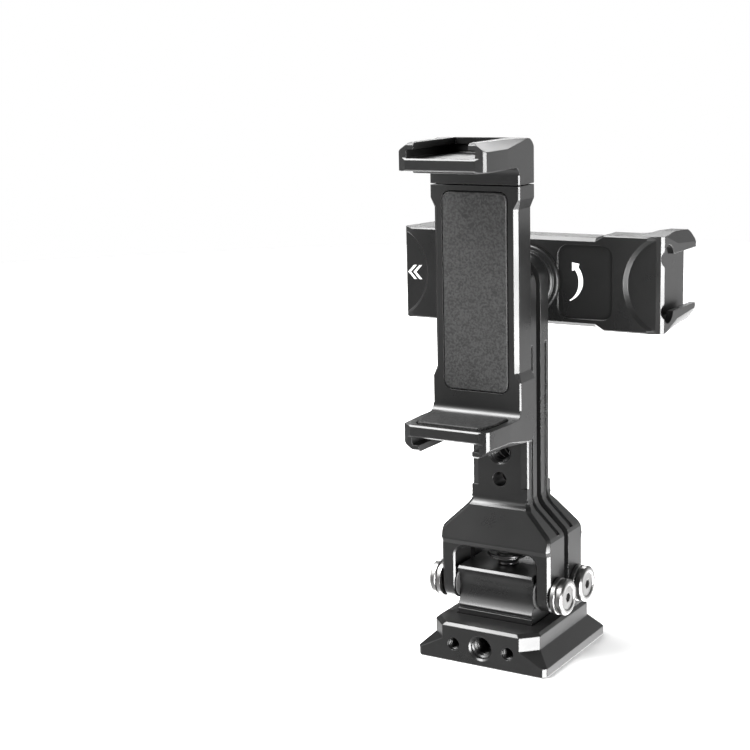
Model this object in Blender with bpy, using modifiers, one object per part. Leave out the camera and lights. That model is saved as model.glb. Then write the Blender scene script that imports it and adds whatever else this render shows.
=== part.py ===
"""Twin phone clamp head on a dovetail base, for a teleprompter stand. Metres, Z up, front towards -Y."""

import math

import bmesh
import bpy
from mathutils import Matrix, Vector

MM = 0.001

# Base plate
BASE_HALF = 19.0
BASE_LIP = 2.4
NECK_Z = 5.9
LIP_CORNER = 1.0
PLATFORM_HALF = 15.5
PLATFORM_CORNER = 4.2
PLATFORM_Z = 10.4
PLATFORM_EDGE = 0.8
PLATFORM_ROOT = 1.0
TRIPOD_THREAD_R = 2.9
TRIPOD_THREAD_DEPTH = 5.4
FRONT_THREAD_DEPTH = 8.5
COUNTERSINK_R = 3.75
SIDE_HOLE_R = 1.7
SIDE_HOLE_X = 8.0
SIDE_HOLE_DEPTH = 6.0
FRONT_HOLE_Z = 4.8

# Hinge block and its two pins
PIN_Y = 6.1
PIN_Z = 18.2
PIN_R = 2.0
BORE_GAP = 0.3
BLOCK_HALF_X = 11.0
BLOCK_HALF_Y = 10.5
BLOCK_TOP = 23.6
BLOCK_FLOOR = 10.1
SCOOP_R = 10.5
KNOB_Y = -2.2
KNOB_TOP = 27.2
KNOB_SHANK_R = 1.25
PIN_HEAD_X = 16.4
PIN_END_X = 19.75

# Arms
ARM_GAP = 1.3
STEM_FRONT = 6.9
STEM_HALF = 8.2
STEM_EDGE = 1.25
CHEEK_INNER = 12.0
CHEEK_OUTER = 16.1
CHEEK_FRONT = 10.3
SHOULDER_FRONT = 10.8
WINDOW_TOP = 29.2
AXIS_Z = 99.0
LOWER_HOLE_Z = 48.1
UPPER_HOLE_Z = 55.5
WINDOW_CORNER = 3.0
SIDE_GROOVE_HALF = 0.75
SCREW_HEAD_POCKET_R = 5.2

# Phone clamps: a is the width, b runs from the clamp's back face to the phone, u runs along it
CLAMP_BACK = 10.75
HALF_WIDE = 12.6
HALF_WAIST = 11.8
BODY_B = 8.5
BODY_EDGE = 1.0
SEAM_U = 27.5
SEAM_GAP = 0.3
WAIST_TOP = 24.2
WAIST_FOOT = -21.7
WAIST_SLOPE = 2.4
LIP_B = 26.0
FIXED_LIP_U = -30.8
MOVING_LIP_U = 32.2
LIP_THICK = 3.1
SLOT_HEIGHT = 2.1
HOOK_HEIGHT = 1.7
SLOT_HALF = 9.4
SLOT_MOUTH_HALF = 7.5
SLOT_END = 2.1
RELIEF_R = 3.4
RELIEF_X = 6.8
RELIEF_Y = -5.13
ROD_A = 5.7
ROD_B = 3.9
ROD_R = 1.3
SPRING_WALL_U = 17.5
POCKET_FOOT_U = -22.0
SCOOP_DEPTH = 1.1
FIXED_SCOOP_R = 12.7
FIXED_SCOOP_U = -40.8
MOVING_SCOOP_R = 13.0
MOVING_SCOOP_U = 44.6
DISC_RECESS_R = 7.3
COIL_R = 1.72
WIRE_R = 0.28

# How an outline's own plane is laid into each named plane
PLANES = {
    "XY": (Matrix.Identity(4), Vector((0, 0, 1))),
    "XZ": (Matrix.Rotation(math.pi / 2, 4, "X"), Vector((0, 1, 0))),
    "YZ": (Matrix(((0, 0, 1), (1, 0, 0), (0, 1, 0))).to_4x4(), Vector((1, 0, 0))),
}

FRONT_PLACE = Matrix.Translation((0, -CLAMP_BACK * MM, AXIS_Z * MM))
REAR_PLACE = (
    Matrix.Translation((0, CLAMP_BACK * MM, AXIS_Z * MM))
    @ Matrix.Rotation(-math.pi / 2, 4, "Y")
    @ Matrix.Rotation(math.pi, 4, "Z")
)
FRONT_ARM_PLACE = Matrix.Translation((0, -PIN_Y * MM, PIN_Z * MM))
REAR_ARM_PLACE = Matrix.Translation((0, PIN_Y * MM, PIN_Z * MM)) @ Matrix.Rotation(math.pi, 4, "Z")
HALF_TURN = Matrix.Rotation(math.pi, 4, "Z")

for leftover in list(bpy.data.objects):
    bpy.data.objects.remove(leftover)

group = bpy.data.collections.new("dual_phone_clamp_head")
bpy.context.scene.collection.children.link(group)


def material(name, color, roughness, metallic):
    made = bpy.data.materials.new(name)
    made.use_nodes = True
    shader = made.node_tree.nodes["Principled BSDF"]
    shader.inputs["Base Color"].default_value = (*color, 1.0)
    shader.inputs["Roughness"].default_value = roughness
    shader.inputs["Metallic"].default_value = metallic
    return made


BLACK = material("anodised_black", (0.020, 0.020, 0.022), 0.32, 0.85)
STEEL = material("bright_steel", (0.62, 0.62, 0.60), 0.28, 1.0)
SPRING = material("spring_steel", (0.45, 0.45, 0.46), 0.35, 1.0)
RUBBER = material("dark_rubber", (0.055, 0.055, 0.056), 0.75, 0.0)
BRONZE = material("washer_polymer", (0.10, 0.10, 0.10), 0.45, 0.0)


def finish(work):
    """Closes a bmesh into mesh data with its faces turned outwards."""
    bmesh.ops.remove_doubles(work, verts=work.verts, dist=0.00001)
    bmesh.ops.recalc_face_normals(work, faces=work.faces)
    data = bpy.data.meshes.new("shape")
    work.to_mesh(data)
    work.free()
    return data


def prism(outline, low, high, plane):
    """A flat outline in XY, XZ or YZ, extruded along the third axis from low to high."""
    turn, across = PLANES[plane]
    curve = bpy.data.curves.new("outline", "CURVE")
    curve.dimensions = "2D"
    curve.fill_mode = "BOTH"
    curve.extrude = (high - low) / 2 * MM
    path = curve.splines.new("POLY")
    path.use_cyclic_u = True
    path.points.add(len(outline) - 1)
    for point, (p, q) in zip(path.points, outline):
        point.co = (p * MM, q * MM, 0, 1)
    shape = baked(holder_of(curve), flat_faces=True)
    shape.transform(turn)
    return moved(shape, across * (low + high) / 2)


def box(low, high):
    work = bmesh.new()
    size = [(high[i] - low[i]) * MM for i in range(3)]
    middle = [(high[i] + low[i]) * MM / 2 for i in range(3)]
    bmesh.ops.create_cube(work, size=1.0, matrix=Matrix.Translation(middle) @ Matrix.Diagonal((*size, 1)))
    return finish(work)


def hull(points):
    work = bmesh.new()
    for point in points:
        work.verts.new(Vector(point) * MM)
    made = bmesh.ops.convex_hull(work, input=work.verts)
    bmesh.ops.delete(work, geom=made["geom_interior"], context="VERTS")
    bmesh.ops.dissolve_limit(work, angle_limit=0.001, verts=work.verts, edges=work.edges)
    return finish(work)


def loft(rings):
    """Joins rings of equal count, from the first to the last, and caps both ends."""
    work = bmesh.new()
    made = [[work.verts.new(Vector(point) * MM) for point in ring] for ring in rings]
    count = len(made[0])
    for lower, upper in zip(made, made[1:]):
        for i in range(count):
            j = (i + 1) % count
            work.faces.new((lower[i], lower[j], upper[j], upper[i]))
    work.faces.new(made[0])
    work.faces.new(made[-1])
    return finish(work)


def cylinder(radius, start, end, segments=32, end_radius=None):
    start = Vector(start) * MM
    end = Vector(end) * MM
    turn = (end - start).to_track_quat("Z", "Y").to_matrix().to_4x4()
    work = bmesh.new()
    bmesh.ops.create_cone(
        work,
        cap_ends=True,
        segments=segments,
        radius1=radius * MM,
        radius2=(radius if end_radius is None else end_radius) * MM,
        depth=(end - start).length,
        matrix=Matrix.Translation((start + end) / 2) @ turn,
    )
    return finish(work)


def baked(holder, flat_faces=False):
    """The mesh that an object's modifiers or curve make; flat_faces joins triangles that share a plane."""
    bpy.context.view_layer.update()
    graph = bpy.context.evaluated_depsgraph_get()
    data = bpy.data.meshes.new_from_object(holder.evaluated_get(graph))
    bpy.data.objects.remove(holder)
    work = bmesh.new()
    work.from_mesh(data)
    if flat_faces:
        bmesh.ops.remove_doubles(work, verts=work.verts, dist=0.00001)
        bmesh.ops.dissolve_limit(work, angle_limit=0.001, verts=work.verts, edges=work.edges)
    return finish(work)


def holder_of(data):
    holder = bpy.data.objects.new("work", data)
    group.objects.link(holder)
    return holder


def turned(profile, direction, segments=32):
    """A profile of (radius, height) pairs, run down the outer side, turned about direction."""
    data = bpy.data.meshes.new("profile")
    spots = [(radius * MM, 0, height * MM) for radius, height in profile]
    closed = profile[0][0] > 0
    edges = [(i, i + 1) for i in range(len(spots) - 1)]
    if closed:
        edges.append((len(spots) - 1, 0))
    data.from_pydata(spots, edges, [])
    holder = holder_of(data)
    screw = holder.modifiers.new("turn", "SCREW")
    screw.steps = segments
    screw.render_steps = segments
    screw.use_merge_vertices = True
    screw.merge_threshold = 0.00005
    shape = baked(holder)
    shape.transform(Vector(direction).to_track_quat("Z", "Y").to_matrix().to_4x4())
    return shape


def combined(target, others, operation):
    holder = holder_of(target)
    helpers = [holder_of(other) for other in others]
    for helper in helpers:
        step = holder.modifiers.new(operation.lower(), "BOOLEAN")
        step.operation = operation
        step.solver = "EXACT"
        step.object = helper
    shape = baked(holder)
    for helper in helpers:
        bpy.data.objects.remove(helper)
    return shape


def cut(target, *cutters):
    return combined(target, cutters, "DIFFERENCE")


def joined(target, *others):
    return combined(target, others, "UNION")


def common(target, *others):
    return combined(target, others, "INTERSECT")


def place(name, data, matrix, coat):
    """Adds one named piece, with its own copy of the shape."""
    data = data.copy()
    data.materials.clear()
    data.materials.append(coat)
    made = bpy.data.objects.new(name, data)
    group.objects.link(made)
    made.matrix_world = matrix
    data.shade_smooth()
    data.set_sharp_from_angle(angle=math.radians(30))
    return made


def arc(centre, radius, start, end, count):
    """Points on a circle from angle start to angle end, in degrees."""
    spots = []
    for i in range(count + 1):
        angle = math.radians(start + (end - start) * i / count)
        spots.append((centre[0] + radius * math.cos(angle), centre[1] + radius * math.sin(angle)))
    return spots


def both_sides(half):
    """Mirrors an outline's right half, listed from one end to the other, about the vertical axis."""
    return half + [(-p, q) for p, q in reversed(half)]


def rounded(half_p, low, high, radius, count=4):
    """A rectangle about the vertical axis with rounded corners."""
    right = arc((half_p - radius, low + radius), radius, -90, 0, count)
    right += arc((half_p - radius, high - radius), radius, 0, 90, count)
    return both_sides(right)


def moved(data, shift):
    data.transform(Matrix.Translation(Vector(shift) * MM))
    return data


# ---- Base plate ----


def octagon(half_x, half_y, corner, z):
    return [
        (sx * x, sy * y, z)
        for sx in (-1, 1)
        for sy in (-1, 1)
        for x, y in ((half_x, half_y - corner), (half_x - corner, half_y))
    ]


def base_shape():
    foot = octagon(BASE_HALF, BASE_HALF, LIP_CORNER, 0.0)
    foot += octagon(BASE_HALF, BASE_HALF, LIP_CORNER, BASE_LIP)
    foot += octagon(PLATFORM_HALF, BASE_HALF, PLATFORM_CORNER, NECK_Z)
    platform = octagon(PLATFORM_HALF, BASE_HALF, PLATFORM_CORNER, NECK_Z - PLATFORM_ROOT)
    platform += octagon(PLATFORM_HALF, BASE_HALF, PLATFORM_CORNER, PLATFORM_Z - PLATFORM_EDGE)
    platform += octagon(
        PLATFORM_HALF - PLATFORM_EDGE, BASE_HALF - PLATFORM_EDGE, PLATFORM_CORNER, PLATFORM_Z
    )
    front = -BASE_HALF
    hole_z = FRONT_HOLE_Z
    deep = front + FRONT_THREAD_DEPTH
    seat_x = BLOCK_HALF_X + BORE_GAP
    seat_y = BLOCK_HALF_Y + BORE_GAP
    cutters = [
        cylinder(TRIPOD_THREAD_R, (0, 0, -1), (0, 0, TRIPOD_THREAD_DEPTH), 24),
        cylinder(COUNTERSINK_R, (0, 0, -0.3), (0, 0, 0.6), 24, TRIPOD_THREAD_R),
        cylinder(TRIPOD_THREAD_R, (0, front - 1, hole_z), (0, deep, hole_z), 24),
        cylinder(COUNTERSINK_R, (0, front - 0.3, hole_z), (0, front + 0.6, hole_z), 24, TRIPOD_THREAD_R),
        cylinder(PIN_R + BORE_GAP, (0, KNOB_Y, 6.0), (0, KNOB_Y, 12), 20),
        box((-seat_x, -seat_y, BLOCK_FLOOR - BORE_GAP), (seat_x, seat_y, 12)),
    ]
    deep = front + SIDE_HOLE_DEPTH
    for x in (-SIDE_HOLE_X, SIDE_HOLE_X):
        cutters.append(cylinder(SIDE_HOLE_R, (x, front - 1, hole_z), (x, deep, hole_z), 20))
    return cut(joined(hull(foot), hull(platform)), *cutters)


# ---- Hinge block, knob and pins ----


def block_shape():
    low = BLOCK_FLOOR + 2.2
    rise = (BLOCK_TOP - 0.8 - low - 0.7) / 2
    centre = (BLOCK_HALF_Y + math.sqrt(SCOOP_R**2 - rise**2), low + 0.7 + rise)
    spread = math.degrees(math.asin(rise / SCOOP_R))
    half = [(BLOCK_HALF_Y, BLOCK_FLOOR), (BLOCK_HALF_Y, BLOCK_FLOOR + 1.7)]
    half += [(BLOCK_HALF_Y - 0.6, BLOCK_FLOOR + 1.9), (BLOCK_HALF_Y - 0.6, low + 0.3)]
    half += [(BLOCK_HALF_Y, low + 0.5)]
    half += arc(centre, SCOOP_R, 180 + spread, 180 - spread, 8)
    half += [(BLOCK_HALF_Y, BLOCK_TOP - 0.5), (BLOCK_HALF_Y - 0.5, BLOCK_TOP)]
    block = prism(both_sides(half), -BLOCK_HALF_X, BLOCK_HALF_X, "YZ")
    reach = BLOCK_HALF_X + 1
    cutters = [
        cylinder(PIN_R + BORE_GAP, (-reach, y, PIN_Z), (reach, y, PIN_Z), 24) for y in (-PIN_Y, PIN_Y)
    ]
    foot = (0, KNOB_Y, BLOCK_FLOOR - 1)
    cutters.append(cylinder(KNOB_SHANK_R + BORE_GAP, foot, (0, KNOB_Y, BLOCK_TOP + 1), 20))
    return cut(block, *cutters)


def knob_shape():
    top = KNOB_TOP
    profile = [(0, top), (5.2, top), (5.6, top - 0.4), (5.6, top - 1.0), (4.2, top - 1.9), (2.9, top - 3.0)]
    profile += [(2.6, BLOCK_TOP + BORE_GAP), (KNOB_SHANK_R, BLOCK_TOP + BORE_GAP)]
    profile += [(KNOB_SHANK_R, 6.4), (0, 6.4)]
    knob = turned(profile, (0, 0, 1), 32)
    slot = box((-6.5, -0.7, top - 0.7), (6.5, 0.7, top + 1))
    return moved(cut(knob, slot), (0, KNOB_Y, 0))


def pin_shape():
    """Shoulder screw along X: stepped head at +X, plain shank to -X."""
    head = [
        (0, PIN_END_X - 1.6),
        (1.15, PIN_END_X - 1.6),
        (1.15, PIN_END_X - 0.3),
        (3.3, PIN_END_X - 0.3),
        (3.6, PIN_END_X),
        (4.3, PIN_END_X),
        (4.8, PIN_END_X - 0.5),
        (4.8, PIN_HEAD_X + 1.6),
        (4.3, PIN_HEAD_X + 1.5),
        (4.3, PIN_HEAD_X + 1.2),
        (4.9, PIN_HEAD_X + 1.1),
        (4.9, PIN_HEAD_X),
        (PIN_R, PIN_HEAD_X),
        (PIN_R, -18.2),
        (0, -18.2),
    ]
    return turned(head, (1, 0, 0), 24)


def cap_shape():
    """Cap nut on the shank's end, mouth towards +X."""
    profile = [
        (0, -PIN_HEAD_X - 2.1),
        (PIN_R + BORE_GAP, -PIN_HEAD_X - 2.1),
        (PIN_R + BORE_GAP, -PIN_HEAD_X),
        (4.9, -PIN_HEAD_X),
        (4.9, -PIN_HEAD_X - 1.1),
        (4.3, -PIN_HEAD_X - 1.2),
        (4.3, -PIN_HEAD_X - 1.5),
        (4.8, -PIN_HEAD_X - 1.6),
        (4.8, -PIN_END_X + 0.5),
        (4.3, -PIN_END_X),
        (3.6, -PIN_END_X),
        (3.3, -PIN_END_X + 0.3),
        (0, -PIN_END_X + 0.3),
    ]
    return turned(profile, (1, 0, 0), 24)


def washer_shape(bore, rim, low, high, direction, segments=32):
    profile = [(bore, high), (rim, high), (rim, low), (bore, low)]
    return turned(profile, direction, segments)


# ---- Arms, in the frame of their hinge axis ----


def arm_shape():
    cheek_y = -(CHEEK_FRONT + ARM_GAP) / 2
    cheek_r = (CHEEK_FRONT - ARM_GAP) / 2
    side = arc((cheek_y, PIN_Z - 0.3), cheek_r, 180, 360, 14)
    side += [(-ARM_GAP, 46), (-STEM_FRONT, 46), (-STEM_FRONT, 42.4)]
    side += [(-STEM_FRONT - 0.15, 40.6), (-STEM_FRONT - 0.7, 38.9)]
    side += [(-SHOULDER_FRONT, 31.2), (-SHOULDER_FRONT, 30.8), (-CHEEK_FRONT, 29.6)]
    right = [(CHEEK_OUTER, 10), (CHEEK_OUTER, 33.2), (CHEEK_OUTER - 0.3, 34.1), (CHEEK_OUTER - 0.9, 34.9)]
    right += [(STEM_HALF + 1.3, 40.4), (STEM_HALF + 0.5, 41.6), (STEM_HALF, 43.2), (STEM_HALF, 46)]
    corner = (CHEEK_INNER - WINDOW_CORNER, WINDOW_TOP - WINDOW_CORNER)
    window = both_sides([(CHEEK_INNER, 10)] + arc(corner, WINDOW_CORNER, 0, 90, 6))
    shoulder = common(prism(side, -20, 20, "YZ"), prism(both_sides(right), -15, 2, "XZ"))
    shoulder = cut(shoulder, prism(window, -16, 4, "XZ"))

    flat = STEM_HALF - STEM_EDGE
    mid_y = -(STEM_FRONT + ARM_GAP) / 2
    groove = SIDE_GROOVE_HALF
    section = [(flat, -STEM_FRONT), (STEM_HALF, -STEM_FRONT + STEM_EDGE)]
    section += [(STEM_HALF, mid_y - groove), (STEM_HALF - 0.5, mid_y - groove + 0.25)]
    section += [(STEM_HALF - 0.5, mid_y + groove - 0.25), (STEM_HALF, mid_y + groove)]
    section += [(STEM_HALF, -ARM_GAP)]
    section = both_sides(section)
    outline = [(STEM_HALF, 43), (STEM_HALF, AXIS_Z)] + arc((0, AXIS_Z), STEM_HALF, 10, 90, 8)
    outline = outline + [(-p, q) for p, q in reversed(outline[:-1])]
    stem = common(prism(section, 42, 110, "XY"), prism(outline, -15, 2, "XZ"))
    arm = joined(shoulder, stem)

    reach = CHEEK_OUTER + 1
    cutters = [
        cylinder(PIN_R + BORE_GAP, (-reach, -PIN_Y, PIN_Z), (reach, -PIN_Y, PIN_Z), 24),
        cylinder(TRIPOD_THREAD_R, (0, -9, UPPER_HOLE_Z), (0, 1, UPPER_HOLE_Z), 24),
        cylinder(2.0, (0, -9, LOWER_HOLE_Z), (0, 1, LOWER_HOLE_Z), 20),
        cylinder(PIN_R + BORE_GAP, (0, -9, AXIS_Z), (0, 1, AXIS_Z), 24),
        cylinder(SCREW_HEAD_POCKET_R, (0, -ARM_GAP - 2.0, AXIS_Z), (0, 1, AXIS_Z), 32),
    ]
    return moved(cut(arm, *cutters), (0, PIN_Y, -PIN_Z))


# ---- Swivel, in the clamp's frame: y is measured from the clamp's back face ----


def swivel_y(world_y):
    return world_y + CLAMP_BACK


def swivel_screw_shape():
    top = swivel_y(-ARM_GAP - 0.35)
    foot = swivel_y(-ARM_GAP - 1.7)
    profile = [(0, top - 0.7), (1.3, top - 0.7), (1.3, top), (4.4, top), (4.9, top - 0.4), (4.9, foot)]
    profile += [(PIN_R, foot), (PIN_R, -3.9), (0, -3.9)]
    return turned(profile, (0, 1, 0), 32)


def swivel_disc_shape():
    near = swivel_y(-STEM_FRONT - 1.0)
    profile = [
        (PIN_R + BORE_GAP, near),
        (7.6, near),
        (8.2, near - 0.5),
        (8.2, near - 1.1),
        (9.0, near - 1.2),
        (9.5, near - 1.6),
        (9.5, 0.3),
        (7.0, 0.3),
        (7.0, -0.8),
        (PIN_R + BORE_GAP, -0.8),
    ]
    return turned(profile, (0, 1, 0), 40)


# ---- Clamp body and jaws, in the clamp's frame: x = a, y = -b, z = u ----


def bar(levels):
    """A chamfered bar along u: each level is (u, half width)."""
    rings = []
    for u, half in levels:
        inner = half - BODY_EDGE
        ring = [(inner, 0), (half, -BODY_EDGE), (half, -BODY_B + BODY_EDGE), (inner, -BODY_B)]
        rings.append([(x, y, u) for x, y in both_sides(ring)])
    return loft(rings)


def lip_shape(inner, direction):
    """The jaw's lip from its phone side outwards; direction is -1 at the fixed end, +1 at the moving one."""
    outer = inner + direction * (LIP_THICK + SLOT_HEIGHT + HOOK_HEIGHT)
    floor = inner + direction * LIP_THICK
    root = inner - direction * 2.0
    back = outer - direction * 4.0
    side = [(0.0, root), (-BODY_B, root)]
    side += [(-BODY_B - 2 + p, root + direction * q) for p, q in arc((0, 0), 2.0, 22.5, 67.5, 2)]
    side += [(-BODY_B - 2, inner), (-LIP_B, inner), (-LIP_B, floor + direction * 0.2)]
    side += [(-LIP_B + 1.3, outer)]
    if direction > 0:
        side += [(-4.0 + p, back + direction * q) for p, q in arc((0, 0), 4.0, 90, 0, 4)]
    else:
        side += [(-SLOT_END - 0.25, outer), (-1.6, outer - direction * 0.8)]
        side += [(-1.0, outer - direction * 2.18), (0.0, outer - direction * 4.0)]
    plan = [(HALF_WIDE - BODY_EDGE, 0), (HALF_WIDE, -BODY_EDGE), (HALF_WIDE, -15.0)]
    plan += [(12.05, -24.4), (11.4, -25.1), (9.5, -LIP_B)]
    low, high = sorted((root, outer))
    shape = common(
        prism(side, -HALF_WIDE - 1, HALF_WIDE + 1, "YZ"), prism(both_sides(plan), low - 1, high + 1, "XY")
    )
    corner = [(HALF_WIDE, -14.5, outer - direction * 2.3), (HALF_WIDE, -1.3, outer), (9.0, -22.2, outer)]
    for side_sign in (-1, 1):
        spots = [Vector((side_sign * x, y, z)) for x, y, z in corner]
        normal = (spots[1] - spots[0]).cross(spots[2] - spots[0]).normalized()
        if normal.z * direction < 0:
            normal = -normal
        # A slab that lies just outside the bevel's plane.
        turn = normal.to_track_quat("Z", "Y").to_matrix().to_4x4()
        slab = box((-40, -40, 0), (40, 40, 10))
        slab.transform(Matrix.Translation(spots[0] * MM) @ turn)
        shape = cut(shape, slab)
    return shape, floor


def shoe_slot(floor, direction, back):
    """T-shaped accessory slot, open at the lip's tip, ending at the plane y = back."""
    under = floor + direction * SLOT_HEIGHT
    past = under + direction * 4
    low, high = sorted((floor, under))
    wide = box((-SLOT_HALF, -LIP_B - 2, low), (SLOT_HALF, back, high))
    low, high = sorted((floor + direction * 0.5, past))
    mouth = box((-SLOT_MOUTH_HALF, -LIP_B - 2, low), (SLOT_MOUTH_HALF, back - 0.4, high))
    return joined(wide, mouth)


def lip_pad_outline(gap):
    half = [(10.3 + gap, -11.0 + gap), (10.3 + gap, -18.5), (9.4 + gap, -22.4 - gap / 2), (8.4, -23.8 - gap)]
    return both_sides(half)


def pad_recess(inner, direction):
    low, high = sorted((inner - direction * 1, inner + direction * 0.8))
    return prism(lip_pad_outline(0.3), low, high, "XY")


def lip_pad_shape(inner, direction):
    low, high = sorted((inner - direction * 0.6, inner + direction * 0.5))
    return prism(lip_pad_outline(0.0), low, high, "XY")


def rod_bores(low, high):
    return [
        cylinder(ROD_R + BORE_GAP, (side * ROD_A, -ROD_B, low), (side * ROD_A, -ROD_B, high), 16)
        for side in (-1, 1)
    ]


def clamp_body_shape():
    foot = FIXED_LIP_U + 1.0
    body = bar(
        [
            (foot - 1.5, HALF_WIDE),
            (WAIST_FOOT, HALF_WIDE),
            (WAIST_FOOT + WAIST_SLOPE, HALF_WAIST),
            (WAIST_TOP - WAIST_SLOPE, HALF_WAIST),
            (WAIST_TOP, HALF_WIDE),
            (SEAM_U, HALF_WIDE),
        ]
    )
    lip, floor = lip_shape(FIXED_LIP_U, -1)
    body = joined(body, lip)
    pocket = box((-8.0, -12, POCKET_FOOT_U), (8.0, -1.6, SPRING_WALL_U))
    boss = cylinder(3.1, (0, -1, 0), (0, -5.0, 0), 24)
    pocket = cut(pocket, boss)
    cutters = [
        shoe_slot(floor, -1, -SLOT_END),
        pocket,
        prism(rounded(8.6, -23.6, 25.0, 2.0), -12, -6.1, "XZ"),
        prism(rounded(9.3, -24.8, 26.2, 2.4), -12, -7.3, "XZ"),
        pad_recess(FIXED_LIP_U, -1),
        cylinder(DISC_RECESS_R, (0, 1, 0), (0, -1.1, 0), 32),
        cylinder(PIN_R + BORE_GAP, (0, 1, 0), (0, -4.2, 0), 20),
        cylinder(FIXED_SCOOP_R, (0, 1, FIXED_SCOOP_U), (0, -SCOOP_DEPTH, FIXED_SCOOP_U), 48),
        prism(rounded(9.8, -24.2, -8.6, 3.0), -0.5, 1, "XZ"),
    ]
    past = floor - SLOT_HEIGHT - HOOK_HEIGHT - 1
    for x in (-RELIEF_X, RELIEF_X):
        cutters.append(cylinder(RELIEF_R, (x, RELIEF_Y, floor + 0.05), (x, RELIEF_Y, past), 20))
    cutters += rod_bores(SPRING_WALL_U - 1, SEAM_U + 1)
    return cut(body, *cutters)


def moving_jaw_shape():
    low = SEAM_U + SEAM_GAP
    jaw = bar([(low, HALF_WIDE), (MOVING_LIP_U - 1.0, HALF_WIDE)])
    lip, floor = lip_shape(MOVING_LIP_U, 1)
    jaw = joined(jaw, lip)
    cutters = [
        shoe_slot(floor, 1, -3.6),
        pad_recess(MOVING_LIP_U, 1),
        cylinder(MOVING_SCOOP_R, (0, 1, MOVING_SCOOP_U), (0, -SCOOP_DEPTH, MOVING_SCOOP_U), 48),
    ]
    cutters += rod_bores(low - 1, low + 5.6)
    return cut(jaw, *cutters)


def rod_shape():
    top = SEAM_U + 5.5
    profile = [(0, top), (ROD_R, top), (ROD_R, -17.8), (1.9, -17.8), (1.9, -19.2), (0, -19.2)]
    return turned(profile, (0, 0, 1), 16)


def spring_shape(turns=8, steps=10):
    """Compression spring round a rod, from the rod's head to the body's wall."""
    low = -17.2
    high = SPRING_WALL_U - 0.6
    curve = bpy.data.curves.new("coil", "CURVE")
    curve.dimensions = "3D"
    curve.bevel_depth = WIRE_R * MM
    curve.bevel_resolution = 0
    curve.use_fill_caps = True
    path = curve.splines.new("POLY")
    count = turns * steps + 1
    path.points.add(count - 1)
    for i in range(count):
        angle = 2 * math.pi * i / steps
        z = low + (high - low) * i / (count - 1)
        spot = (COIL_R * math.cos(angle), COIL_R * math.sin(angle), z)
        path.points[i].co = (*(Vector(spot) * MM), 1)
    return baked(holder_of(curve))


def main():
    place("base_plate", base_shape(), Matrix.Identity(4), BLACK)
    place("hinge_block", block_shape(), Matrix.Identity(4), BLACK)
    place("block_screw", knob_shape(), Matrix.Identity(4), BLACK)

    pin = pin_shape()
    cap = cap_shape()
    washer = washer_shape(PIN_R + BORE_GAP, 4.4, 11.3, 11.7, (1, 0, 0), 20)
    for word, sign in (("front", -1), ("rear", 1)):
        spot = Matrix.Translation((0, sign * PIN_Y * MM, PIN_Z * MM))
        place(word + "_hinge_screw", pin, spot, STEEL)
        place(word + "_hinge_cap_nut", cap, spot, STEEL)
        place(word + "_hinge_washer_right", washer, spot, BRONZE)
        place(word + "_hinge_washer_left", washer, spot @ HALF_TURN, BRONZE)

    arm = arm_shape()
    place("front_arm", arm, FRONT_ARM_PLACE, BLACK)
    place("rear_arm", arm, REAR_ARM_PLACE, BLACK)

    screw = swivel_screw_shape()
    disc = swivel_disc_shape()
    near = swivel_y(-STEM_FRONT)
    friction = washer_shape(PIN_R + BORE_GAP, 7.4, near - 0.7, near - 0.3, (0, 1, 0), 32)
    body = clamp_body_shape()
    jaw = moving_jaw_shape()
    rod = rod_shape()
    spring = spring_shape()
    cover = prism(rounded(8.3, -23.3, 24.7, 1.7), -7.0, -6.4, "XZ")
    body_pad = prism(rounded(9.0, -24.5, 25.9, 2.1), -BODY_B - 0.3, -7.6, "XZ")
    fixed_pad = lip_pad_shape(FIXED_LIP_U, -1)
    moving_pad = lip_pad_shape(MOVING_LIP_U, 1)
    for word, spot in (("front", FRONT_PLACE), ("rear", REAR_PLACE)):
        place(word + "_swivel_screw", screw, spot, STEEL)
        place(word + "_swivel_washer", friction, spot, BRONZE)
        place(word + "_swivel_disc", disc, spot, BLACK)
        place(word + "_clamp_body", body, spot, BLACK)
        place(word + "_pocket_cover", cover, spot, STEEL)
        place(word + "_body_pad", body_pad, spot, RUBBER)
        place(word + "_fixed_jaw_pad", fixed_pad, spot, RUBBER)
        place(word + "_moving_jaw", jaw, spot, BLACK)
        place(word + "_moving_jaw_pad", moving_pad, spot, RUBBER)
        for letter, side in (("a", -1), ("b", 1)):
            beside = spot @ Matrix.Translation((side * ROD_A * MM, -ROD_B * MM, 0))
            place(word + "_guide_rod_" + letter, rod, beside, STEEL)
            place(word + "_jaw_spring_" + letter, spring, beside, SPRING)


main()
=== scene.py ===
"""Looks of the dual phone clamp head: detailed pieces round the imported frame, in a plain studio.

Lengths are in millimetres until MM turns them into metres.
"""

import math

import bmesh
import bpy
from mathutils import Matrix, Vector


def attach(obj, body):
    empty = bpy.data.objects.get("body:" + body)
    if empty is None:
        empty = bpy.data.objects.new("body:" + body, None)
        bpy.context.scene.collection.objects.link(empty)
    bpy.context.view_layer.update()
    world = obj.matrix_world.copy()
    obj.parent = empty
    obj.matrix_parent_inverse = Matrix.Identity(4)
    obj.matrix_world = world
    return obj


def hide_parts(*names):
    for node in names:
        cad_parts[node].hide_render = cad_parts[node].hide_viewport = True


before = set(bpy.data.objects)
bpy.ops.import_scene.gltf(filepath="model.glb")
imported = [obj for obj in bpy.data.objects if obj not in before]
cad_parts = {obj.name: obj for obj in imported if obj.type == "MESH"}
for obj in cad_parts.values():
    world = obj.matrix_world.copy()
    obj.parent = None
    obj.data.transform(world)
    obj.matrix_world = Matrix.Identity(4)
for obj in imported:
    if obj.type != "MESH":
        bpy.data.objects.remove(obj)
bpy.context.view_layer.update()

MM = 0.001

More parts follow.
